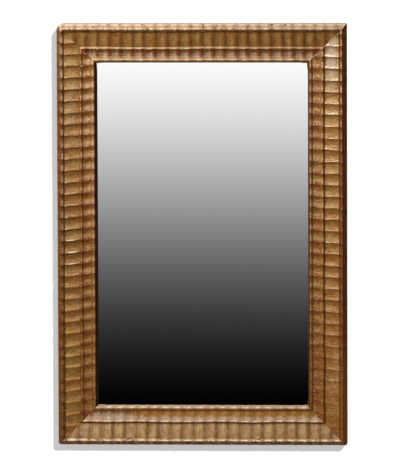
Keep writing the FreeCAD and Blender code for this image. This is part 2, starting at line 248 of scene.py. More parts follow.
# each strip's rise above its seat, its section as shares of its width and rise, and the height of the arc on
# some runs as a share of the rise
SECTIONS = {
    "outer_bead": (0.032, [(0, 0.5), (0.38, 0.89), (0.81, 0.89), (1, 0.76)], {1: 0.09}),
    "ripple_band": (0.026, [(0, 1), (1, 0.59)], {0: 0.02}),
    "inner_cove": (
        0.019,
        [(0, 0.76), (0.12, 0.99), (0.24, 0.97), (0.34, 0.82), (0.93, 0.62), (1, 0.64)],
        {1: 0.04, 3: -0.055},
    ),
    "sight_slip": (0.0165, [(0, 0.7), (0.12, 0.78), (0.72, 0.8), (0.94, 0.36)], {1: 0.17, 2: 0.03}),
}
BEAD, BAND, COVE, SLIP = SECTIONS
POINT_SPACING = 0.0008


def strip_limits(kind):
    """How far in from the outer edge a strip starts and ends, and the height of its foot above the back."""
    low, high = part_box(f"left_{kind}")
    return low.x + half_width, high.x + half_width, -high.y


def section_line(kind):
    """The carved face of a strip as points (u, height), in runs between the points of its section. A run from
    P to Q with an arc is P + t (Q - P), raised by 4 t (1 - t) times the arc's height square to the run."""
    rise, shares, arcs = SECTIONS[kind]
    start, finish, _ = strip_limits(kind)
    corners = np.array([(start + (finish - start) * across, seat + rise * high) for across, high in shares])
    runs = []
    for number, (first, last) in enumerate(zip(corners[:-1], corners[1:])):
        along = last - first
        length = np.hypot(*along)
        count = max(2, math.ceil(length / POINT_SPACING))
        share = np.arange(count)[:, None] / count
        square = np.array([-along[1], along[0]]) / length
        runs.append(first + along * share + square * 4 * share * (1 - share) * rise * arcs.get(number, 0))
    return np.concatenate([*runs, corners[-1:]])


# the whole section of the frame, and how far each place lies below the mean of its surroundings
whole_line = np.concatenate([section_line(kind) for kind in SECTIONS])
SECTION_STEP = 0.00025
SECTION_REACH = 0.0024
REACH_STEPS = 36
section_u = np.arange(0, whole_line[-1, 0], SECTION_STEP)
section_height = np.interp(section_u, whole_line[:, 0], whole_line[:, 1])
reach = np.arange(-REACH_STEPS, REACH_STEPS + 1)
weights = np.exp(-0.5 * (reach * SECTION_STEP / SECTION_REACH) ** 2)
padded_height = np.pad(section_height, len(reach) // 2, mode="edge")
section_sunk = np.convolve(padded_height, weights / weights.sum(), mode="valid") - section_height


def drift(x, y, length, seed):
    """A smooth random field from about -1 to 1: the sum of six sine waves in seeded directions, each about
    the given length."""
    total = 0
    for turn, stretch, phase in np.random.default_rng(seed).random((6, 3)) * 2 * np.pi:
        wave = length * (0.6 + 0.13 * stretch)
        total = total + np.sin((x * np.cos(turn) + y * np.sin(turn)) * 2 * np.pi / wave + phase)
    return total / 3.0


def ease(values):
    """A smooth step from 0 to 1 on values held to that range."""
    held = np.clip(values, 0, 1)
    return held * held * (3 - 2 * held)


def ramp(values, start, end):
    """A smooth step from 0 at the start to 1 at the end, which may lie below it."""
    return ease((values - start) / (end - start))


def bell(values, spread):
    """A bell that is 1 at 0 and has faded out at about twice the spread."""
    return np.exp(-((values / spread) ** 2))


def lines(rows, side, kind, u, mask):
    """Lines along a strip, as bells across it. Each keeps a share of itself where the mask is 0. A row is the
    strip, u, half breadth, kept share and strength on each side."""
    total = np.zeros_like(mask)
    for strip, across, breadth, kept, sides in rows:
        if strip == kind:
            total = total + sides.get(side, 0) * bell(u - across, breadth) * (kept + (1 - kept) * mask)
    return total


def places_on(rows, side, along, u):
    """Single places on a side, as bells. A row is the side, the place along it, u, half length, half breadth
    and strength."""
    total = np.zeros_like(along)
    for where, spot, across, long, broad, strength in rows:
        if where == side:
            total = total + strength * bell(along - spot, long) * bell(u - across, broad)
    return total


def side_length(side):
    """The length of a side's outer edge."""
    return 2 * (half_width if side in ("bottom", "top") else half_height)


def way_up(side, along):
    """How far up an upright side a place is, from 0 to 1, and 1 on the level sides."""
    way = along / side_length(side)
    return {"left": 1 - way, "right": way}.get(side, 1)


def nearness(share):
    """How near an arris a place is: 0 in mid hollow and 1 on an arris."""
    return np.abs(2 * share - 1)


RIPPLE_PITCH = 0.0243
RIPPLE_DEPTHS = {BEAD: 0.002, BAND: 0.003, COVE: 0.003, SLIP: 0.003}
FIRST_ARRIS = by_side(0.0176, 0.0158, 0.0132, 0.0197)
# how far the spacing laid out by eye strays: places along a side, and the shift of the arrises there
STRAYING = {
    "right": ([0.2, 0.4, 0.6, 0.7], [0.0, 0.0015, 0.0015, 0.0035]),
    "left": ([0.15, 0.28, 0.47, 0.65, 0.72], [-0.0059, -0.0044, -0.0006, -0.0002, 0.0010]),
}
# how round the arrises are worn, from 0 for sharp to 1 for a plain wave
ARRIS_WEAR = by_side(0.55, 0.05, 0.45, 0.15)
STRIP_WEAR = {BEAD: 0.3, BAND: 0.0, COVE: 0.6, SLIP: 0.5}
# how deep the hollows are at a side's first and last corner, as shares of the depth they reach by its middle
END_DEPTHS = by_side((1.0, 1.0), (0.2, 1.0), (1.0, 1.0), (1.0, 0.5))
# the last hollows cut on the top were crowded, to end at the corner
CROWDED_SHIFT = {"top": 0.0082}
CROWDED_FADE = 2.2
# how far hand work moves an arris, and the least share of the depth that a hollow has
HAND_STRAY = 0.0005
LEAST_DEPTH = 0.85


def arris_places(side):
    """Where the arrises of a side stand along it, from before its first corner to past its last: evenly
    spaced, each moved a little as hand work is, and crowded by a shift that fades from arris to arris."""
    number = np.arange(math.ceil(side_length(side) / RIPPLE_PITCH) + 3) - 1
    moved = np.random.default_rng(SIDE_SEEDS[side]).normal(0, HAND_STRAY, len(number))
    crowded = CROWDED_SHIFT.get(side, 0) * np.exp(-np.clip(number - 1, 0, None) / CROWDED_FADE)
    even = FIRST_ARRIS[side] + RIPPLE_PITCH * number
    strayed = np.interp(even, *STRAYING[side]) if side in STRAYING else 0
    return even + strayed + moved + crowded


def ripple(side, kind, along):
    """The hollows of a strip: how deep the face lies under the arrises, a parabola from arris to arris that
    wear turns into a squared sine, and the share of the hollow that lies behind each place."""
    places = arris_places(side)
    draw = np.random.default_rng(SIDE_SEEDS[side] + DEPTH_SEED)
    depths = RIPPLE_DEPTHS[kind] * draw.uniform(LEAST_DEPTH, 1.0, len(places))
    first, last = END_DEPTHS[side]
    way = 2 * places / side_length(side)
    depths = depths * (first + (1 - first) * ease(way)) * (1 + (last - 1) * ease(way - 1))
    cell = np.clip(np.searchsorted(places, along) - 1, 0, len(places) - 2)
    share = np.clip((along - places[cell]) / (places[cell + 1] - places[cell]), 0, 1)
    sharp = 4 * share * (1 - share)
    worn = np.sin(np.pi * share) ** 2
    wear = min(ARRIS_WEAR[side] + STRIP_WEAR[kind], 1)
    return depths[cell] * (sharp + wear * (worn - sharp)), share


COLUMNS_PER_RIPPLE = 18
END_COLUMNS = 40
END_ROOM = 0.003
ARRIS_CROWDING = 0.65


def columns(side, finish, u):
    """The grid's places along a side for each u: columns that follow the ripples, close together at the
    arrises, and at each end columns that swing round from square to the 45 degree mitre, where along = u."""
    places = arris_places(side)
    length = side_length(side)
    even = np.arange(COLUMNS_PER_RIPPLE) / COLUMNS_PER_RIPPLE
    crowded = 0.5 - 0.5 * np.cos(np.pi * even)
    spread = even + ARRIS_CROWDING * (crowded - even)
    run = (places[:-1, None] + np.diff(places)[:, None] * spread).ravel()
    run = run[(run > finish + END_ROOM) & (run < length - finish - END_ROOM)]
    swing = np.linspace(0, 1, END_COLUMNS + 1)[:-1, None]
    first = u + swing * (run[0] - u)
    last = length - u - swing[::-1] * (length - u - run[-1])
    return np.concatenate([first, np.repeat(run[:, None], len(u), 1), last])


CHIP_COUNTS = {BEAD: 0, BAND: 0, COVE: 3, SLIP: 2}
CHIP_STRAY = 0.0008
CHIP_LENGTHS = (0.0006, 0.0016)
CHIP_BREADTHS = (0.001, 0.004)
CHIP_DEPTH = 0.0003
# larger losses on the arrises, as single places
LOSSES = [
    ("left", 0.4585, 0.0290, 0.0018, 0.0120, 1.0),
    ("left", 0.4820, 0.0310, 0.0027, 0.0130, 1.0),
    ("left", 0.5065, 0.0305, 0.0018, 0.0120, 1.0),
]
LOSS_SHIFT = -0.0009


def chips(side, kind, along, u):
    """Chips and rubbed spots: a sum of bells, seeded along the arrises, with the larger losses."""
    start, finish, _ = strip_limits(kind)
    draw = np.random.default_rng(SIDE_SEEDS[side] + CHIP_SEED * list(SECTIONS).index(kind))
    places = arris_places(side)
    spots = []
    for where, spot, across, *rest in LOSSES:
        if start < across < finish:
            spots.append((where, places[np.abs(places - spot).argmin()] + LOSS_SHIFT, across, *rest))
    for _ in range(CHIP_COUNTS[kind]):
        spot = draw.choice(places) + draw.normal(0, CHIP_STRAY)
        across = draw.uniform(start, finish)
        spots.append((side, spot, across, draw.uniform(*CHIP_LENGTHS), draw.uniform(*CHIP_BREADTHS), 1.0))
    return np.clip(places_on(spots, side, along, u), 0, 1)


# pale lines along the crests: gold rubbed pale, and painted highlights where the crests catch the lamp; they
# are weaker at the foot of the upright sides and at the arrises of the level ones
CREST_RUBS_AND_HIGHLIGHTS = [
    (BEAD, 0.0006, 0.0026, 0.45, {"top": 1.5}),
    (BEAD, 0.0070, 0.0075, 0.9, {"top": 0.35}),
    (BEAD, 0.0080, 0.0014, 0.0, {"top": 0.6}),
    (BEAD, 0.0040, 0.0040, 1.0, {"bottom": 0.4}),
    (BEAD, 0.0120, 0.0016, 0.0, {"bottom": 1.5}),
    (BEAD, 0.0107, 0.0016, 0.0, {"right": 1.5}),
    (BEAD, 0.0114, 0.0014, 0.0, {"left": 1.4}),
    (BAND, 0.0310, 0.0200, 0.0, {"top": 0.22}),
    (COVE, 0.0510, 0.0014, 0.0, {"bottom": 1.6, "right": 0.7, "top": 0.2, "left": 0.3}),
    (COVE, 0.0488, 0.0014, 0.0, {"top": 0.5}),
    (COVE, 0.0575, 0.0055, 0.5, {"bottom": 0.5}),
    (COVE, 0.0630, 0.0070, 0.8, {"left": 0.28}),
    (COVE, 0.0630, 0.0034, 0.9, {"right": 0.24}),
    (COVE, 0.0630, 0.0060, 0.0, {"top": 0.55}),
    (COVE, 0.0700, 0.0020, 0.5, {"right": 0.6, "top": 0.5}),
    (SLIP, 0.0790, 0.0030, 0.0, {"bottom": 1.1}),
    (SLIP, 0.0745, 0.0022, 0.0, {"top": 0.55, "left": 0.5}),
    (SLIP, 0.0758, 0.0012, 0.0, {"right": 0.65}),
]
# how far the lines of the level sides break, and how near the arrises: 0 in mid hollow and 1 on an arris
BROKEN_LINES = {"bottom": 0.65, "top": 0.6}
BREAK_REACH = (0.35, 0.85)
# how far up the upright sides the lines start to show, and how much further up they are whole
LINE_START = {"left": 0.15, "right": 0.2}
LINE_RISE = 0.5
# the part of each hollow of the upright sides that turns up to the light, from its upper arris down
LIT_START = (0.3, 0.6)
LIT_END = (1.05, 0.93)
# the strip with painted highlights in dots on its arrises, how near them, and where the dots give way to
# lines
DOTTED_STRIP = ("right", BEAD)
DOT_REACH = (0.72, 0.92)
DOT_LIMITS = (0.85, 0.6)
# single rubbed places
RUBBED_PLACES = [
    ("left", 0.036, 0.026, 0.0022, 0.008, 0.4),
    ("left", 0.170, 0.031, 0.140, 0.014, 0.3),
    ("left", 0.495, 0.031, 0.022, 0.013, 0.2),
    # high on the right band, where the lamp lights it most: rubbed gilding and painted light
    ("right", 0.820, 0.031, 0.090, 0.014, 0.7),
    ("left", 0.012, 0.007, 0.010, 0.006, 0.5),
    ("left", 0.090, 0.008, 0.080, 0.006, 0.4),
    ("left", 0.140, 0.064, 0.180, 0.016, 0.13),
    ("top", 0.600, 0.008, 0.012, 0.007, 0.3),
    ("bottom", 0.110, 0.064, 0.040, 0.010, 0.5),
    ("bottom", 0.045, 0.026, 0.010, 0.006, 0.4),
    ("bottom", 0.024, 0.014, 0.012, 0.004, 0.6),
]
# the open mitre: which end of each side it is, 0 for the first, its half breadth and how strong its pale line
# is, rubbed gilding with a painted highlight
OPEN_MITRE = {"top": 0.0, "right": 1.0}
MITRE_LINE = 0.0011
MITRE_RUB = 0.8
MOST_RUB = 1.5


def rubs_and_highlights(side, kind, along, u, share):
    """How pale the gilding is: rubbed gold and painted highlights, as bells across the crests, on the upright
    sides only where a hollow turns up to the light, with the single places and the open edges of the upper
    right mitre."""
    downward = share if side == "left" else 1 - share
    upper = way_up(side, along)
    near = nearness(share)
    lit = ramp(downward, *LIT_START) * ramp(downward, *LIT_END)
    if (side, kind) == DOTTED_STRIP:
        lit = lit + (ramp(near, *DOT_REACH) - lit) * ramp(upper, *DOT_LIMITS)
    if side in LINE_START:
        rise = ease((upper - LINE_START[side]) / LINE_RISE)
        total = lit * lines(CREST_RUBS_AND_HIGHLIGHTS, side, kind, u, rise)
    else:
        total = lines(CREST_RUBS_AND_HIGHLIGHTS, side, kind, u, 1 - BROKEN_LINES[side] * ramp(near, *BREAK_REACH))
    total = total + places_on(RUBBED_PLACES, side, along, u)
    if side in OPEN_MITRE:
        to_end = OPEN_MITRE[side] * (side_length(side) - 2 * u) + (1 - 2 * OPEN_MITRE[side]) * (along - u)
        total = total + MITRE_RUB * bell(to_end, MITRE_LINE)
    return np.clip(total, 0, MOST_RUB)


# dark lines along the flanks: dirt, and painted shade on flanks that face away from the lamp
DIRT_AND_SHADE_LINES = [
    (BEAD, 0.0035, 0.0050, 1.0, {"left": 1.0}),
    (BEAD, 0.0105, 0.0030, 1.0, {"left": 0.5}),
    (BEAD, 0.0044, 0.0020, 1.0, {"top": 0.3}),
    (BEAD, 0.0118, 0.0020, 1.0, {"top": 0.3}),
    (BEAD, 0.0120, 0.0040, 1.0, {"right": 0.75}),
    (BEAD, 0.0145, 0.0014, 1.0, {"left": 0.6}),
    (BEAD, 0.0155, 0.0014, 1.0, {"right": 0.7}),
    (COVE, 0.0475, 0.0013, 1.0, {"right": 0.3}),
    (COVE, 0.0530, 0.0014, 1.0, {"left": 0.9}),
    (SLIP, 0.0737, 0.0020, 1.0, {"right": 0.55}),
]
# how dark the stripes beside the arrises are: dirt on the level sides, and on the upright sides painted shade
# under each arris. Also what share of them each strip has, how near the arris they begin at a side's first
# and last corner and where they are full, the least of them at any arris, and how far up the upright sides
# the painted shade starts and is full
ARRIS_DIRT_AND_SHADE = by_side(0.85, 1.1, 1.5, 1.2)
DIRT_SHARES = {BEAD: 0.35, BAND: 1.0, COVE: 0.4, SLIP: 0.25}
DIRT_START = by_side((0.45, 0.3), (0.35, 0.35), (0.05, 0.5), (0.4, 0.4))
DIRT_FULL = 0.95
LEAST_DIRT = by_side(0.6, 0.5, 0.6, 0.5)
PAINTED_SHADE_RISE = (-0.05, 0.45)
# the strip whose arrises dusting has kept clean, and the share of their dirt that is left
CLEAN_STRIP = ("top", BEAD)
CLEAN_SHARE = 0.75
# nail holes and stains, as single places
NAIL_HOLES = [
    ("top", 0.269, 0.060, 0.0016, 0.0016, 1.0),
    ("left", 0.858, 0.020, 0.0024, 0.0024, 1.0),
    ("bottom", 0.018, 0.0165, 0.0018, 0.0018, 1.0),
]
# soil and painted shade on the outer flank, most on the right, which faces away from the lamp, and painted
# shade with some dirt on the slope beside the glass, least on the bottom, which faces up to the lamp: where
# the one ends and the other starts, and over what breadth they fade. The flank has a share of its darkening
# at a side's first corner, and all after a third
FLANK_SOIL_AND_SHADE = by_side(0.0, 0.75, 0.1, 0.15)
FLANK_FIRST = 0.6
FLANK_PARTS = 3
SIGHT_SHADE_AND_SOIL = by_side(0.15, 0.85, 0.95, 1.0)
FLANK_END = by_side(0.0075, 0.0110, 0.0075, 0.0075)
SIGHT_START = by_side(0.0785, 0.0772, 0.0805, 0.0765)
FLANK_FADE = 0.003
SIGHT_FADE = by_side(0.003, 0.0014, 0.003, 0.003)


def dirt_and_shade(side, kind, along, u, share):
    """Dark marks: lines along the flanks, of dirt and of painted shade, round nail holes, and stripes beside
    the arrises, which are dirt on the level sides and painted shade under each arris on the upright sides."""
    # on the upright sides the stripes lie just under each upper arris, where the hollow faces down: painted
    # shade
    near = {"left": 1 - 2 * share, "right": 2 * share - 1}.get(side, nearness(share))
    first, last = DIRT_START[side]
    begin = first + (last - first) * along / side_length(side)
    stripes = ramp(near, begin, DIRT_FULL)
    places = arris_places(side)
    draw = np.random.default_rng(SIDE_SEEDS[side] + DIRT_SEED)
    uneven = draw.uniform(LEAST_DIRT[side], 1.0, len(places))
    stripes = stripes * np.interp(along, places, uneven) * ramp(way_up(side, along), *PAINTED_SHADE_RISE)
    total = ARRIS_DIRT_AND_SHADE[side] * DIRT_SHARES[kind] * stripes
    if (side, kind) == CLEAN_STRIP:
        total = total * CLEAN_SHARE
    total = total + lines(DIRT_AND_SHADE_LINES, side, kind, u, stripes) + places_on(NAIL_HOLES, side, along, u)
    return np.clip(total, 0, 1)


# lines of red bole that show beside the arrises, and run on more weakly between them
BOLE_PATCHES = [
    (BEAD, 0.0030, 0.0040, 1.0, {"bottom": 0.4}),
    (BEAD, 0.0110, 0.0060, 0.2, {"left": 0.6, "top": 0.1, "bottom": 0.15}),
    (BEAD, 0.0120, 0.0045, 0.5, {"right": 0.7}),
    (BAND, 0.0310, 0.0250, 0.0, {"top": 0.45}),
    (COVE, 0.0490, 0.0030, 0.2, {"left": 0.5, "right": 0.3, "top": 0.2, "bottom": 0.15}),
    (COVE, 0.0620, 0.0085, 0.1, {"left": 0.7, "right": 0.5, "top": 0.75, "bottom": 0.15}),
    (COVE, 0.0625, 0.0036, 0.0, {"right": 1.1}),
    (COVE, 0.0690, 0.0034, 0.7, {"bottom": 0.36}),
    (SLIP, 0.0745, 0.0040, 0.2, {"left": 0.45, "right": 0.35, "top": 0.2}),
]
PATCH_REACH = (0.35, 0.9)
# where along the dotted strip, from its foot, its bole starts to show and is full
DOTTED_BOLE = (0.02, 0.32)


def bole_patches(side, kind, along, u, share):
    """How much red bole shows: bells across a strip, that fade from the arrises into each hollow, and on the
    dotted strip towards its foot."""
    patches = ramp(nearness(share), *PATCH_REACH)
    total = lines(BOLE_PATCHES, side, kind, u, patches)
    if (side, kind) == DOTTED_STRIP:
        total = total * ramp(along, *DOTTED_BOLE)
    return total


# bright gold beside the sight slip of the bottom, painted light that lifts the shade cast there by the slip:
# u, half breadth, and where it starts
SHINING_U = 0.0680
SHINING_BREADTH = 0.0040
SHINING_START = (0.13, 0.19)
SHINING_LINE = 0.45
# bright gold on the arrises of the left, worn gold with a painted highlight: how far down its length and how
# near them, and a little on the top
BRIGHT_LOWER = (0.5, 0.75)
BRIGHT_REACH = (0.74, 0.88)
BRIGHT_ARRISES = 0.6
BRIGHT_TOP = 0.1


def bright_gold_and_light(side, kind, along, u, share):
    """Bright gold: worn gold and painted highlights on the arrises of the wide band, low on the left, painted
    light in a line along the bottom, and a little all over the top."""
    lower = ramp(along / side_length(side), *BRIGHT_LOWER)
    arrises = BRIGHT_ARRISES * lower * ramp(nearness(share), *BRIGHT_REACH)
    line = SHINING_LINE * bell(u - SHINING_U, SHINING_BREADTH) * ramp(along, *SHINING_START)
    shares = {
        ("left", BAND): arrises,
        ("bottom", COVE): line,
        ("top", BAND): BRIGHT_TOP,
    }
    return np.zeros_like(along) + shares.get((side, kind), 0)


# how far the arrises lean, in metres along the side for each metre inwards, at the first and last corner
LEANS = by_side((0.02, -0.03), (0.06, -0.01), (-0.03, 0.02), (0.01, -0.13))
LEAN_CENTRE = 0.031
MITRE_FADE = 0.02
# how far the outer ends of a side's arrises curl, where across it, and where along it the curl fades
CURL = {"left": 0.0014}
CURL_U = 0.016
CURL_BREADTH = 0.005
CURL_FADE = (0.5, 0.4)
# how far the arrises wander along a side and the joints bow across it, the length of it, and the seed
WANDER = (0.0006, 0.06, 7)
BOW = (0.0006, 0.11, 8)
# tool marks, coarse and fine: half depth, length and seed
TOOL_MARKS = [(0.00025, 0.021, 5), (0.00012, 0.006, 6)]
# how far the inner mouldings sit low on the carcass at its top and its foot, and where that starts and ends
SAG_TOP = 0.0017
SAG_FOOT = 0.0009
SAG_START = (0, 0.010)
SAG_END = (0.060, 0.070)
# how far the joint before the sight slip and the sight edge itself stand in from their usual place
SLIP_SHIFT = by_side(0.0, -0.0014, 0.0, -0.0012)
SIGHT_SHIFT = by_side(-0.0010, -0.0016, -0.0010, 0.0010)
SLIP_JOINT = (0.0725, 0.003)
SIGHT_EDGE = (0.077, 0.082)
# where the grooves are not darkened: all but some in the middle of the bottom, and one joint of the left
BOTTOM_GROOVES = 0.4
BOTTOM_START = (0.026, 0.030)
BOTTOM_END = (0.058, 0.062)
LEFT_JOINT = (0.046, 0.006)
# radius of each worn corner of the outer edge, by the signs of its X and Z
WORN_CORNERS = {(-1, 1): 0.013, (-1, -1): 0.006, (1, 1): 0.0025, (1, -1): 0.002}
TINY = 1e-9


def wear_corners(x, z):
    """Rounds the outer corners: in the square of one radius at a corner, a place is drawn in so that squares
    about the square's inner corner turn into quarter circles."""
    for (side_x, side_z), radius in WORN_CORNERS.items():
        across = np.clip(x * side_x - (half_width - radius), 0, None)
        up = np.clip(z * side_z - (half_height - radius), 0, None)
        draw_in = np.maximum(across, up) / np.maximum(np.hypot(across, up), TINY)
        inside = (across > 0) & (up > 0)
        x = np.where(inside, side_x * (half_width - radius + across * draw_in), x)
        z = np.where(inside, side_z * (half_height - radius + up * draw_in), z)
    return x, z


SHARP_ANGLE = math.radians(50)


def new_piece(name, points, quads, caps, marks):
    """A mesh object from whole arrays: points, four-cornered faces, end faces and grids of marks."""
    mesh = bpy.data.meshes.new(name)
    corners = np.concatenate([quads.ravel(), *caps]).astype(np.int32)
    sizes = np.concatenate([np.full(len(quads), 4), [len(cap) for cap in caps]]).astype(np.int32)
    mesh.vertices.add(len(points))
    mesh.vertices.foreach_set("co", points.astype(np.float32).ravel())
    mesh.loops.add(len(corners))
    mesh.loops.foreach_set("vertex_index", corners)
    mesh.polygons.add(len(sizes))
    mesh.polygons.foreach_set("loop_start", np.concatenate([[0], np.cumsum(sizes)[:-1]]).astype(np.int32))
    mesh.update(calc_edges=True)
    mesh.validate()
    mesh.polygons.foreach_set("use_smooth", np.ones(len(mesh.polygons), dtype=bool))
    mesh.set_sharp_from_angle(angle=SHARP_ANGLE)
    for label, values in marks.items():
        kind, field = ("FLOAT", "value") if values.ndim == 2 else ("FLOAT_VECTOR", "vector")
        mesh.attributes.new(label, kind, "POINT").data.foreach_set(field, values.astype(np.float32).ravel())
    piece = bpy.data.objects.new(name, mesh)
    scene.collection.objects.link(piece)
    return piece


def grid_faces(rows, around):
    """Faces of a tube of rows, each row a closed loop of points, and the loops that close its two ends."""
    row = np.arange(rows - 1)[:, None] * around
    spot = np.arange(around)[None, :]
    after = (spot + 1) % around
    quads = np.stack([row + spot, row + around + spot, row + around + after, row + after], -1)
    return quads.reshape(-1, 4), [np.arange(around), (rows - 1) * around + np.arange(around)[::-1]]


WALL_POINTS = 5
FRAME_BREADTH = 0.084


def strip_piece(side, kind, material):
    """One strip of one side: its section, closed by walls and a foot, is carried along the side from mitre
    to mitre, and the carved face is sunk by the ripple, by chips and by the drift of hand work."""
    corner, way_along, way_in = SIDES[side]
    start, finish, foot = strip_limits(kind)
    length = side_length(side)
    face = section_line(kind)
    rise = np.linspace(0, 1, WALL_POINTS)[:-1]
    fall = np.linspace(0, 1, WALL_POINTS)[1:]
    wall = np.ones(WALL_POINTS - 1)
    inner = np.stack([wall * face[-1, 0], face[-1, 1] + (foot - face[-1, 1]) * fall], 1)
    outer = np.stack([wall * start, foot + (face[0, 1] - foot) * rise], 1)
    loop = np.concatenate([face, inner, outer])
    carved = np.concatenate([np.ones(len(face)), 1 - fall, rise])
    u = loop[:, 0]
    along = columns(side, finish, u)
    sunk, share = ripple(side, kind, along)
    chip = chips(side, kind, along, u)
    seed = SIDE_SEEDS[side]
    hand = sum(depth * (1 + drift(along, u, size, seed + add)) for depth, size, add in TOOL_MARKS)
    height = loop[:, 1] - carved * (sunk + hand + CHIP_DEPTH * chip)

    inside = ease((along - u) / MITRE_FADE) * ease((length - u - along) / MITRE_FADE)
    lean_first, lean_last = LEANS[side]
    lean = lean_first + (lean_last - lean_first) * along / length
    wander, size, add = WANDER
    shift = lean * (u - LEAN_CENTRE) + wander * drift(along, u, size, seed + add)
    curl = CURL.get(side, 0) * bell(u - CURL_U, CURL_BREADTH) * ramp(along, *CURL_FADE)
    along_real = along + inside * (shift + curl * (u >= CURL_U))
    between = np.sin(np.pi * np.clip(u / FRAME_BREADTH, 0, 1)) * inside
    slip = SLIP_SHIFT[side] * bell(u - SLIP_JOINT[0], SLIP_JOINT[1])
    sight = SIGHT_SHIFT[side] * ramp(u, *SIGHT_EDGE)
    bow, size, add = BOW
    u_real = u + bow * between * drift(along, 0 * u, size, seed + add) + inside * (slip + sight)

    x = corner[0] * half_width + way_along[0] * along_real + way_in[0] * u_real
    z = corner[1] * half_height + way_along[2] * along_real + way_in[2] * u_real
    sag = SAG_FOOT + (SAG_TOP - SAG_FOOT) * (z + half_height) / (2 * half_height)
    z = z - sag * ramp(u, *SAG_START) * (1 - ramp(u, *SAG_END))
    x, z = wear_corners(x, z)
    points = np.stack([x, -height, z], -1).reshape(-1, 3)
    # darkening of the flank and of the slope beside the glass: soil and painted shade
    soil_and_shade = FLANK_SOIL_AND_SHADE[side] * ease((FLANK_END[side] - u) / FLANK_FADE)
    soil_and_shade = soil_and_shade * (FLANK_FIRST + (1 - FLANK_FIRST) * ease(FLANK_PARTS * along / length))
    soil_and_shade = soil_and_shade + SIGHT_SHADE_AND_SOIL[side] * ease((u - SIGHT_START[side]) / SIGHT_FADE[side])
    groove = np.interp(u, section_u, section_sunk) * carved
    if side == "bottom":
        groove = groove * BOTTOM_GROOVES * (ramp(u, *BOTTOM_START) - ramp(u, *BOTTOM_END))
    if side == "left":
        groove = groove * (1 - bell(u - LEFT_JOINT[0], LEFT_JOINT[1]))
    quads, caps = grid_faces(len(along), len(loop))
    where = (side, kind, along, u, share)
    marks = {
        "strip_place": np.stack([along, np.broadcast_to(u, along.shape), height], -1),
        "sunk": np.broadcast_to(groove, along.shape),
        "chip": chip * carved,
        "rub_and_highlight": rubs_and_highlights(*where),
        "dirt_and_shade": dirt_and_shade(*where),
        "red": bole_patches(*where),
        "bright_gold_and_light": bright_gold_and_light(*where),
        "soil_and_shade": soil_and_shade,
    }
    piece = new_piece(f"gilt_{side}_{kind}", points, quads, caps, marks)
    piece.data.materials.append(material)
    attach(piece, "frame")
    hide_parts(f"{side}_{kind}")
    return piece


GOLD_BRIGHT = srgb(228, 164, 76)
GOLD_PALE = srgb(182, 143, 80)
GOLD_DEEP = srgb(146, 90, 28)
GOLD_OLIVE = srgb(156, 118, 52)
GOLD_ORANGE = srgb(166, 104, 38)
BOLE_RED = srgb(124, 54, 24)
DIRT_AND_SHADE_DARK = srgb(96, 49, 10)
FLANK_BROWN = srgb(140, 76, 28)
SOOT_AND_SHADE = srgb(46, 24, 10)
LIT_AND_RUBBED_CREAM = srgb(186, 160, 136)
DUST_PALE = srgb(192, 167, 126)
GESSO_CREAM = srgb(242, 218, 182)


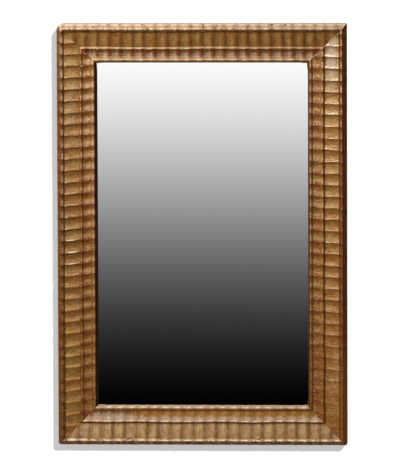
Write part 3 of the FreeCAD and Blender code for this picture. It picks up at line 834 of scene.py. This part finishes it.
def make_worn_gilding():
    """Old gilding: two tones of gold, bole where it is rubbed thin and a little more where it faces down as
    painted shade, pale dust with a painted lit tone where it faces up, flecks, pale crests of rubbed gold and
    painted highlights, darker in the grooves, dirt and painted shade beside the arrises, soil and painted
    shade on the flanks, gesso in the chips, and bright gold that is partly painted light. Up is the upward
    part of the surface's normal, and Low is 1 at the foot of the frame, where the gold is redder."""
    marks = ("Red", "Sunk", "Chip", "Rub_and_highlight", "Dirt_and_shade", "Bright_gold_and_light", "Soil_and_shade")
    settings = ("Up", "Low", "Bole", "Dust_and_lit", "Gloss", "Grain", "Fineness")
    inputs = {"Place": "Vector", **dict.fromkeys(marks + settings, "Float")}
    tree, given, result = new_group("worn_gilding", inputs, ("Metallic", "Varnish"))
    place = given["Place"]
    broad = noise(tree, place, 26.0, 4.0)
    patina = noise(tree, place, 9.0, 3.0)
    spots = noise(tree, place, 150.0, 4.0, 0.6)
    flecks = noise(tree, scaled(tree, place, (300, 170, 170)), given["Fineness"], 2.0, 0.6)
    fine = noise(tree, place, 900.0, 3.0)
    cross_marks = noise(tree, scaled(tree, place, (600, 45, 45)), 1.0, 3.0)
    long_marks = noise(tree, scaled(tree, place, (30, 800, 800)), 1.0, 2.0)

    tone = times(tree, cross_marks, 0.5, times(tree, broad, 0.5))
    color = over(tree, step(tree, tone, 0.4, 0.6), GOLD_DEEP, GOLD_PALE)
    warmth = times(tree, given["Low"], 0.3, patina)
    hue = over(tree, step(tree, warmth, 0.5, 0.75), GOLD_OLIVE, GOLD_ORANGE)
    color = over(tree, step(tree, spots, 0.4, 0.7), color, hue)

    thin = maths(tree, "ADD", given["Red"], times(tree, spots, 0.8, given["Bole"]))
    # a little more bole where the surface faces down: painted shade
    thin = times(tree, broad, 0.4, times(tree, given["Up"], -0.15, thin))
    bole = times(tree, step(tree, thin, 0.75, 1.15), 0.8)
    color = over(tree, bole, color, BOLE_RED)

    # pale where the surface faces up: dust, and a painted lit tone where the lamp above lights it
    dusty_and_lit = times(tree, spots, 0.4, given["Up"])
    dusty_and_lit = times(tree, cross_marks, 0.7, dusty_and_lit)
    dust = times(tree, step(tree, dusty_and_lit, 0.6, 1.3), given["Dust_and_lit"])
    color = over(tree, dust, color, DUST_PALE)
    pale_flecks = times(tree, step(tree, flecks, 0.54, 0.7), given["Grain"])
    color = over(tree, pale_flecks, color, DUST_PALE)

    # pale crests: rubbed gold and painted highlights, cream where they are brightest
    worn = times(tree, spots, 0.9, times(tree, flecks, 0.6, given["Rub_and_highlight"]))
    rubbed_and_lit = times(tree, step(tree, worn, 0.85, 1.5), step(tree, given["Rub_and_highlight"], 0.0, 0.3))
    through = over(tree, step(tree, worn, 1.5, 2.1), LIT_AND_RUBBED_CREAM, GESSO_CREAM)
    color = over(tree, rubbed_and_lit, color, through)

    # darker in the grooves, by how far a place lies below its surroundings, and patches of dirt and of
    # painted shade beside the arrises
    deep = times(tree, given["Sunk"], 900.0, times(tree, spots, 0.5))
    groove = times(tree, step(tree, deep, 0.35, 1.3), 0.6)
    mottle = times(tree, maths(tree, "SUBTRACT", flecks, 0.5), given["Grain"])
    mottle = times(tree, mottle, 2.0, maths(tree, "ADD", broad, spots))
    patches = step(tree, mottle, 0.7, 1.15)
    patchy = times(tree, given["Dirt_and_shade"], times(tree, patches, 0.6, 0.4))
    dark_flecks = times(tree, step(tree, flecks, 0.46, 0.32), given["Grain"])
    dirt_and_shade_share = larger(tree, groove, larger(tree, patchy, dark_flecks))
    color = over(tree, dirt_and_shade_share, color, DIRT_AND_SHADE_DARK)

    bare = step(tree, times(tree, fine, 0.5, given["Chip"]), 0.62, 1.1)
    color = over(tree, times(tree, bare, 0.95), color, GESSO_CREAM)

    # the flanks and the slope beside the glass: soil and painted shade, brown to near black
    soil_and_shade = times(tree, maths(tree, "SUBTRACT", spots, 0.5), 0.4, given["Soil_and_shade"])
    soiled_and_shaded = times(tree, step(tree, soil_and_shade, 0.05, 0.5), step(tree, given["Soil_and_shade"], 0.0, 0.1))
    earth_and_shade = over(tree, step(tree, soil_and_shade, 0.5, 1.0), FLANK_BROWN, SOOT_AND_SHADE)
    color = over(tree, soiled_and_shaded, color, earth_and_shade)

    # bright gold: painted light and highlights, and some worn gold
    bright = times(tree, given["Bright_gold_and_light"], step(tree, spots, 0.25, 0.5))
    color = over(tree, bright, color, GOLD_BRIGHT)

    dull = larger(tree, dirt_and_shade_share, soiled_and_shaded)
    dull = larger(tree, dull, larger(tree, bole, bare))
    rough = times(tree, dull, 0.25, times(tree, fine, 0.2, 0.36))
    metal = maths(tree, "SUBTRACT", 1.0, larger(tree, dull, larger(tree, dust, rubbed_and_lit)))
    metal = times(tree, metal, 0.3)
    glossy = times(tree, maths(tree, "SUBTRACT", 1.0, dull), given["Gloss"])
    relief = times(tree, cross_marks, 0.5, times(tree, long_marks, 0.3))
    relief = times(tree, flecks, 0.7, times(tree, fine, 0.35, relief))
    made = {"Color": color, "Roughness": rough, "Metallic": metal, "Varnish": glossy, "Height": relief}
    connect(tree, result, made)
    return tree


worn_gilding = make_worn_gilding()


GILT_RELIEF = 0.0005
VARNISH_ROUGHNESS = 0.23
GILT_SPECULAR = 0.12


def gilding(name, bole, dust, gloss, grain, fineness):
    """Old gilding on one kind of strip: bole adds to how much red shows, dust is the share of pale dust and
    painted lit tone that lies on what faces up, gloss is what is left of the varnish, and grain and fineness
    are how strong and how small the flecks are."""
    material, tree, shader = new_material(name)
    values = {"Bole": bole, "Dust_and_lit": dust, "Gloss": gloss, "Grain": grain, "Fineness": fineness}
    values["Place"] = put(tree, "Attribute", attribute_name="strip_place").outputs["Vector"]
    for label in ("red", "sunk", "chip", "rub_and_highlight", "dirt_and_shade", "bright_gold_and_light", "soil_and_shade"):
        values[label.capitalize()] = put(tree, "Attribute", attribute_name=label).outputs["Fac"]
    height = axes(tree, "TexCoord", "Object")["Z"]
    values["Low"] = put(tree, "MapRange", {0: height, 1: half_height, 2: -half_height}).outputs[0]
    values["Up"] = axes(tree, "NewGeometry", "Normal")["Z"]
    finish = finish_surface(tree, shader, worn_gilding, values, GILT_RELIEF)
    coat = {"Coat Weight": finish["Varnish"], "Coat Roughness": VARNISH_ROUGHNESS}
    metal = {"Metallic": finish["Metallic"], "Specular IOR Level": GILT_SPECULAR}
    connect(tree, shader.inputs, coat | metal)
    return material


GILDINGS = {
    BEAD: gilding("bead_gilding", 0.1, 0.7, 0.15, 0.9, 0.55),
    BAND: gilding("band_gilding", -0.1, 0.95, 0.5, 0.32, 1.0),
    COVE: gilding("cove_gilding", 0.16, 0.62, 0.12, 0.4, 1.0),
    SLIP: gilding("slip_gilding", 0.0, 0.7, 0.4, 0.55, 1.0),
}
for side in SIDES:
    for kind in SECTIONS:
        strip_piece(side, kind, GILDINGS[kind])


# Mirror plate: a sheet of glass silvered on its back, held behind the sight slips. It hardly shows its age:
# a little dust, and a few dark specks of lost silver near its edges. Its back has a coat of dull red paint.

SILVER = srgb(247, 247, 247)
SPECK_DARK = srgb(70, 58, 44)
BACK_PAINT = srgb(112, 62, 44)
THICK_PAINT = srgb(86, 48, 36)


def silvered_glass():
    """A mirror: bright metal seen through clear glass, with specks towards its edges, and paint behind."""
    material, tree, shader = new_material("silvered_glass")
    place = put(tree, "TexCoord").outputs["Object"]
    behind = step(tree, axes(tree, "NewGeometry", "Normal")["Y"], 0.4, 0.6)
    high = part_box("mirror_plate")[1]
    shares = put(tree, "SeparateXYZ", {0: scaled(tree, place, (1 / high.x, 0, 1 / high.z))})
    sideways = maths(tree, "ABSOLUTE", shares.outputs["X"])
    edge = larger(tree, sideways, maths(tree, "ABSOLUTE", shares.outputs["Z"]))
    pits = times(tree, noise(tree, place, 190.0, 4.0), 0.5)
    specks = times(tree, edge, 1.2, pits)
    specks = step(tree, specks, 1.52, 1.6)
    dust = noise(tree, place, 60.0, 4.0)
    paint = noise(tree, scaled(tree, place, (9, 9, 90)), 1.0, 3.0)
    color = over(tree, specks, SILVER, SPECK_DARK)
    back = over(tree, step(tree, paint, 0.3, 0.7), BACK_PAINT, THICK_PAINT)
    color = over(tree, behind, color, back)
    dull = larger(tree, behind, specks)
    clear = maths(tree, "SUBTRACT", 1.0, dull)
    rough = times(tree, step(tree, dust, 0.55, 0.8), 0.02, 0.012)
    rough = times(tree, dull, 0.5, rough)
    connect(tree, shader.inputs, {"Base Color": color, "Metallic": clear, "Roughness": rough})
    return material


dress(["mirror_plate"], silvered_glass())


# Glass fillets: four thin strips of pine, pinned behind the plate to hold it against the sight slips. They
# lie under the backboards, in the same pine as the carcass.

dress(["bottom_glass_fillet", "top_glass_fillet"], wood("fillet_pine_level", PINE_PALE, PINE_DARK, ALONG_X))
dress(["left_glass_fillet", "right_glass_fillet"], wood("fillet_pine_upright", PINE_PALE, PINE_DARK, ALONG_Z))


# Backboards: three thin boards of darker softwood laid in the rebate, with the grain upright, and held by
# flush wire nails that have gone brown with rust.

BOARD_PALE = (150, 112, 70)
BOARD_DARK = (82, 54, 30)
IRON_GREY = (92, 84, 78)
RUST_BROWN = (96, 54, 30)

# how pale each board is, and where in the wood the first was cut
BOARD_TONES = {"left": 1.0, "centre": 0.86, "right": 0.94}
FIRST_CUT = 1.3
for cut, (place, tone) in enumerate(BOARD_TONES.items()):
    pale = [part * tone for part in BOARD_PALE]
    dress([f"backboard_{place}"], wood(f"backboard_wood_{place}", pale, BOARD_DARK, ALONG_Z, cut + FIRST_CUT))


def make_tarnish():
    """Old metal: bright metal that spots and clouds of tarnish cover by a given share."""
    inputs = {"Place": "Vector", "Bright": "Color", "Dull": "Color", "Cover": "Float"}
    tree, given, result = new_group("tarnish", inputs, ("Metallic",))
    clouds = noise(tree, given["Place"], 220.0, 5.0, 0.65)
    grit = noise(tree, given["Place"], 1800.0, 3.0)
    cover = step(tree, maths(tree, "ADD", clouds, given["Cover"]), 0.4, 0.8)
    color = over(tree, cover, given["Bright"], given["Dull"])
    color = over(tree, times(tree, grit, 0.3), color, given["Dull"])
    rough = times(tree, cover, 0.4, times(tree, grit, 0.15, 0.25))
    metal = times(tree, cover, -0.6, 0.95)
    height = times(tree, clouds, 0.6, grit)
    connect(tree, result, {"Color": color, "Roughness": rough, "Metallic": metal, "Height": height})
    return tree


tarnish = make_tarnish()
METAL_RELIEF = 0.0001
NAIL_RUST = 0.15
SCREW_TARNISH = 0.12


def old_metal(name, bright, dull, cover):
    """A metal in its bright and its tarnished colour."""
    material, tree, shader = new_material(name)
    place = put(tree, "TexCoord").outputs["Object"]
    values = {"Place": place, "Bright": srgb(*bright), "Dull": srgb(*dull), "Cover": cover}
    finish = finish_surface(tree, shader, tarnish, values, METAL_RELIEF)
    tree.links.new(finish["Metallic"], shader.inputs["Metallic"])
    return material


dress(["backboard_nails"], old_metal("rusted_iron", IRON_GREY, RUST_BROWN, NAIL_RUST))


# Hangers: a brass strap with a rolled barrel on the back of each stile, held by two screws, and a loose ring
# of brass wire whose bar turns in the barrel.

BRASS_BRIGHT = (205, 168, 98)
BRASS_DULL = (108, 82, 44)

hanger_brass = old_metal("hanger_brass", BRASS_BRIGHT, BRASS_DULL, 0.0)
dress([f"{side}_hanger_{piece}" for side in ("left", "right") for piece in ("strap", "ring")], hanger_brass)
dress(["hanger_screws"], old_metal("screw_brass", BRASS_BRIGHT, BRASS_DULL, SCREW_TARNISH))


# Studio: a white wall just behind the frame, a soft lamp above and to the left, a weaker one from the right
# that draws the thin shadow on the wall, and a graduated card in front that only the mirror and gilding show.

WALL_GAP = 0.001
WALL_HALF = 4.0
WALL_GLOW = 0.44
WALL_GREY = (0.3, 0.3, 0.3, 1)


def stage_plane(material, y, half, high, hidden):
    """An upright backdrop that faces the camera, and is hidden from some kinds of ray."""
    mesh = bpy.data.meshes.new(material.name)
    corners = [(-half, y, -high), (half, y, -high), (half, y, high), (-half, y, high)]
    mesh.from_pydata(corners, [], [(0, 1, 2, 3)])
    mesh.materials.append(material)
    plane = bpy.data.objects.new(material.name, mesh)
    for ray in hidden:
        setattr(plane, f"visible_{ray}", False)
    scene.collection.objects.link(plane)
    return plane


def wall_paint():
    """White paint that keeps shadows: part of its white is lit, part shines for the camera, and it is clear
    from behind."""
    material, tree, shader = new_material("white_wall")
    tree.nodes.remove(shader)
    paint = put(tree, "BsdfDiffuse", {"Color": WALL_GREY})
    rays = put(tree, "LightPath").outputs
    mirrored = larger(tree, rays["Is Glossy Ray"], rays["Is Transmission Ray"])
    seen = larger(tree, rays["Is Camera Ray"], mirrored)
    glow = put(tree, "Emission", {"Strength": times(tree, seen, WALL_GLOW)})
    lit = put(tree, "AddShader", {0: paint.outputs[0], 1: glow.outputs[0]})
    clear = put(tree, "BsdfTransparent")
    back = put(tree, "NewGeometry").outputs["Backfacing"]
    both = put(tree, "MixShader", {0: back, 1: lit.outputs[0], 2: clear.outputs[0]})
    tree.links.new(both.outputs[0], tree.nodes["Material Output"].inputs["Surface"])
    return material


wall = stage_plane(wall_paint(), cad_box[1].y + WALL_GAP, WALL_HALF, WALL_HALF, ("diffuse", "glossy"))

CARD_Y = -1.5
CARD_HALF = 3.0
CARD_WHITE_Z = 0.30
CARD_BLACK_Z = -0.60
CARD_END_Z = 1.2
CARD_CURVE = 0.5
CARD_LIGHT = 1.08
SCREEN_GAMMA = 2.4


def graduated_card():
    """A card that fades from white above to black below, evenly to the eye but for a slight curve."""
    material, tree, shader = new_material("graduated_card")
    tree.nodes.remove(shader)
    height = axes(tree, "TexCoord", "Object")["Z"]
    share = put(tree, "MapRange", {0: height, 1: CARD_BLACK_Z, 2: CARD_WHITE_Z}, clamp=True).outputs[0]
    curved = step(tree, height, CARD_BLACK_Z, CARD_WHITE_Z)
    shown = put(tree, "Mix", {0: CARD_CURVE, 2: share, 3: curved}, data_type="FLOAT").outputs[0]
    light = times(tree, maths(tree, "POWER", shown, SCREEN_GAMMA), CARD_LIGHT)
    glow = put(tree, "Emission", {"Strength": light})
    tree.links.new(glow.outputs[0], tree.nodes["Material Output"].inputs["Surface"])
    return material


MIRRORED_ONLY = ("camera", "diffuse", "shadow", "transmission", "volume_scatter")
stage_plane(graduated_card(), CARD_Y, CARD_HALF, CARD_END_Z, MIRRORED_ONLY)


def lamp(name, kind, place, aim, energy, color, **fields):
    """A lamp that stands at a place and points at an aim."""
    light = bpy.data.lights.new(name, kind)
    light.energy = energy
    light.color = color
    for field, setting in fields.items():
        setattr(light, field, setting)
    holder = bpy.data.objects.new(name, light)
    holder.location = place
    holder.rotation_euler = (Vector(aim) - Vector(place)).to_track_quat("-Z", "Y").to_euler()
    scene.collection.objects.link(holder)
    return holder


KEY_PLACE = (-0.65, -0.78, 1.33)
KEY_AIM = (0.0, 0.0, 0.1)
KEY_POWER = 20.0
KEY_SIZE = 0.4
KEY_WHITE = (1.0, 0.99, 0.97)
SHADOW_WAY = (0.345, -1.0, 0.44)
SHADOW_POWER = 6.7
SHADOW_SPREAD = math.radians(3)
PURE_WHITE = (1.0, 1.0, 1.0)
key = lamp("key_lamp", "AREA", KEY_PLACE, KEY_AIM, KEY_POWER, KEY_WHITE, size=KEY_SIZE)
wall_lamp = lamp("wall_lamp", "SUN", SHADOW_WAY, (0, 0, 0), SHADOW_POWER, PURE_WHITE, angle=SHADOW_SPREAD)
unlit = bpy.data.collections.new("not_lit_by_key_lamp")
unlit.objects.link(wall)
unlit.collection_objects[0].light_linking.link_state = "EXCLUDE"
key.light_linking.receiver_collection = unlit
lit_wall = bpy.data.collections.new("lit_by_wall_lamp")
lit_wall.objects.link(wall)
wall_lamp.light_linking.receiver_collection = lit_wall

# the soft light from all round: its colour, its level ahead, what it gains upwards and to the right, and its
# least. What the gilding mirrors is darker, and rises from one level to another between two heights
FILL_WARM = (1.0, 0.955, 0.89, 1)
FILL_AHEAD = 0.55
FILL_UPWARD = 0.28
FILL_RIGHT = -0.3
LEAST_FILL = 0.04
MIRRORED_HEIGHTS = (-0.4, 0.9)
MIRRORED_LEVELS = (0.002, 0.3)
world = bpy.data.worlds.new("studio")
scene.world = world
world.use_nodes = True
sky = world.node_tree
rays = put(sky, "LightPath").outputs
toward = axes(sky, "TexCoord", "Generated")
upward = toward["Z"]
fill = times(sky, toward["X"], FILL_RIGHT, FILL_AHEAD)
fill = times(sky, upward, FILL_UPWARD, fill)
fill = larger(sky, fill, LEAST_FILL)
limits = dict(enumerate((upward, *MIRRORED_HEIGHTS, *MIRRORED_LEVELS)))
mirrored = put(sky, "MapRange", limits, clamp=True).outputs[0]
reflected = larger(sky, rays["Is Glossy Ray"], rays["Is Transmission Ray"])
level = put(sky, "Mix", {0: reflected, 2: fill, 3: mirrored}, data_type="FLOAT").outputs[0]
level = put(sky, "Mix", {0: rays["Is Camera Ray"], 2: level, 3: 1.0}, data_type="FLOAT").outputs[0]
tint = over(sky, larger(sky, reflected, rays["Is Camera Ray"]), FILL_WARM, (1, 1, 1, 1))
connect(sky, sky.nodes["Background"].inputs, {"Strength": level, "Color": tint})


# Camera: far off, a little to the right and above, as the photograph was taken. Its long lens keeps the sides
# of the frame nearly parallel.

CAMERA_DISTANCE = 14.0
CAMERA_BEARING = math.radians(3.27)
CAMERA_ELEVATION = math.radians(4.96)
CAMERA_ROLL = math.radians(-0.2)
CAMERA_LENS = 510.0
CAMERA_REACH = 60.0
CAMERA_AIM = Vector((0.0061, -0.030, 0.0003))

back = Vector((
    math.sin(CAMERA_BEARING) * math.cos(CAMERA_ELEVATION),
    -math.cos(CAMERA_BEARING) * math.cos(CAMERA_ELEVATION),
    math.sin(CAMERA_ELEVATION),
))
camera = bpy.data.objects.new("camera", bpy.data.cameras.new("camera"))
camera.data.lens = CAMERA_LENS
camera.data.clip_end = CAMERA_REACH
turn = (-back).to_track_quat("-Z", "Y").to_matrix() @ Matrix.Rotation(CAMERA_ROLL, 3, "Z")
camera.matrix_world = Matrix.Translation(CAMERA_AIM + back * CAMERA_DISTANCE) @ turn.to_4x4()
scene.collection.objects.link(camera)
scene.camera = camera
scene.view_settings.view_transform = "Standard"
